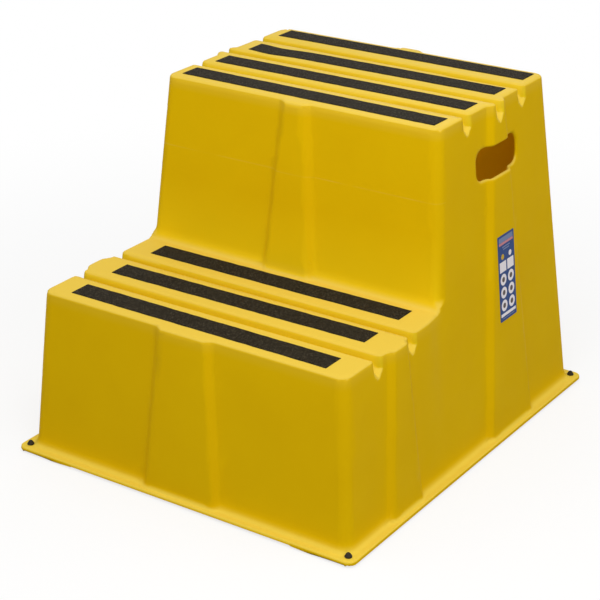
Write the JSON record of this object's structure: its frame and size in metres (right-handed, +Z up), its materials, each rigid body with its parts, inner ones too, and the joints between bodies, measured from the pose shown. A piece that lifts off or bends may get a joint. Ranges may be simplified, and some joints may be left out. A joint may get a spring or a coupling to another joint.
{
  "type": "two-step safety step",
  "caption": "Free-standing moulded plastic step with grooved treads, anti-slip strips, a hand hole in each side, a foot flange and rubber feet; hollow and open underneath.",
  "frame": {"origin": "centre of the footprint, on the floor", "axes": "+X to the right as seen by a person climbing, +Y away from that person towards the upper step, +Z up"},
  "size_m": [0.5, 0.574, 0.4329],
  "materials": {
    "yellow_shell": "satin, with a fine moulded grain",
    "grit_strip": "coarse grit",
    "black_rubber": "matte",
    "blue_label": "printed film"
  },
  "bodies": {
    "root": {"body_shell": "yellow_shell", "upper_strip_1": "grit_strip", "upper_strip_2": "grit_strip", "upper_strip_3": "grit_strip", "upper_strip_4": "grit_strip", "lower_strip_1": "grit_strip", "lower_strip_2": "grit_strip", "lower_strip_3": "grit_strip", "foot_front_left": "black_rubber", "foot_front_right": "black_rubber", "foot_back_left": "black_rubber", "foot_back_right": "black_rubber", "side_label": "blue_label"}
  },
  "joints": []
}
